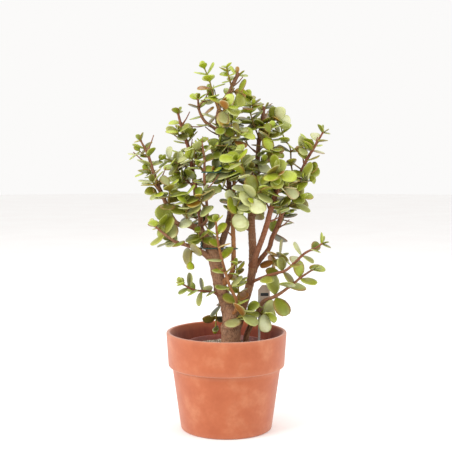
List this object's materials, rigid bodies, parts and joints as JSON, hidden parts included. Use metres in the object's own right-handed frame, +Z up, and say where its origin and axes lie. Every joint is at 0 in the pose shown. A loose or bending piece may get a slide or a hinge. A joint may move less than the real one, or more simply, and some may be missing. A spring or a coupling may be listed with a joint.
{
  "type": "potted jade plant",
  "caption": "Small-leaved jade shrub with several woody stems, standing in a soil-filled nursery pot inside a banded terracotta pot.",
  "frame": {"origin": "middle of the terracotta pot's underside, on the surface that it stands on", "axes": "+Z up through the pot's axis; +X to the right and +Y to the back, seen from the front"},
  "size_m": [0.3387, 0.2185, 0.6316],
  "materials": {
    "terracotta": "unglazed fired clay, matt, with paler mottling and a lighter lip",
    "nursery_plastic": "thin moulded brick-red plastic, slightly dusty",
    "soil": "gritty mineral potting mix, loose pale grains on dark damp compost",
    "label_plastic": "thin printed card-like plastic, satin, with one plain dark bar",
    "tie_wire": "green plastic-coated wire, satin",
    "bark": "smooth to finely ridged brown-grey bark with raised rings at the old leaf nodes",
    "leaf": "fleshy waxy leaf, satin, yellow-green to olive, with reddish margins on some"
  },
  "bodies": {
    "root": {"terracotta_pot": "terracotta", "nursery_pot": "nursery_plastic", "potting_soil": "soil", "plant_label": "label_plastic", "low_tie": "tie_wire", "high_tie": "tie_wire", "main_trunk": "bark", "right_stem": "bark", "second_trunk": "bark", "left_limb": "bark", "left_outer_stem": "bark", "left_upright_stem": "bark", "central_leader": "bark", "centre_stem": "bark", "left_thin_stem": "bark", "leader_fork": "bark", "right_inner_stem": "bark", "right_outer_stem": "bark", "front_shoot": "bark", "low_right_shoot": "bark", "low_left_shoot": "bark", "left_outer_side_shoot": "leaf", "left_low_shoot": "leaf", "left_front_shoot": "leaf", "left_hanging_shoot": "leaf", "trunk_top_shoot": "leaf", "left_upright_side_shoot": "leaf", "crown_tip_shoot": "leaf", "crown_upper_shoot": "leaf", "crown_right_shoot": "leaf", "crown_front_shoot": "leaf", "upper_right_shoot": "leaf", "right_top_shoot": "leaf", "right_forked_shoot": "leaf", "right_fork_side_shoot": "leaf", "right_bend_shoot": "leaf", "right_pale_shoot": "leaf", "inner_left_shoot": "leaf", "inner_right_shoot": "leaf", "mint_shoot": "leaf", "mint_side_shoot": "leaf", "mint_left_shoot": "leaf", "inner_pale_shoot": "leaf", "middle_left_shoot": "leaf", "middle_low_shoot": "leaf", "middle_right_shoot": "leaf", "crown_low_shoot": "leaf", "stub_shoot": "leaf", "upper_middle_shoot": "leaf", "back_leader_shoot": "leaf", "back_right_shoot": "leaf", "back_left_shoot": "leaf", "back_low_shoot": "leaf", "back_outer_shoot": "leaf", "back_crown_shoot": "leaf", "low_front_shoot": "leaf", "trunk_front_shoot": "leaf", "hanging_shoot": "leaf", "fork_shoot": "leaf", "trunk_left_shoot": "leaf"}
  },
  "joints": []
}
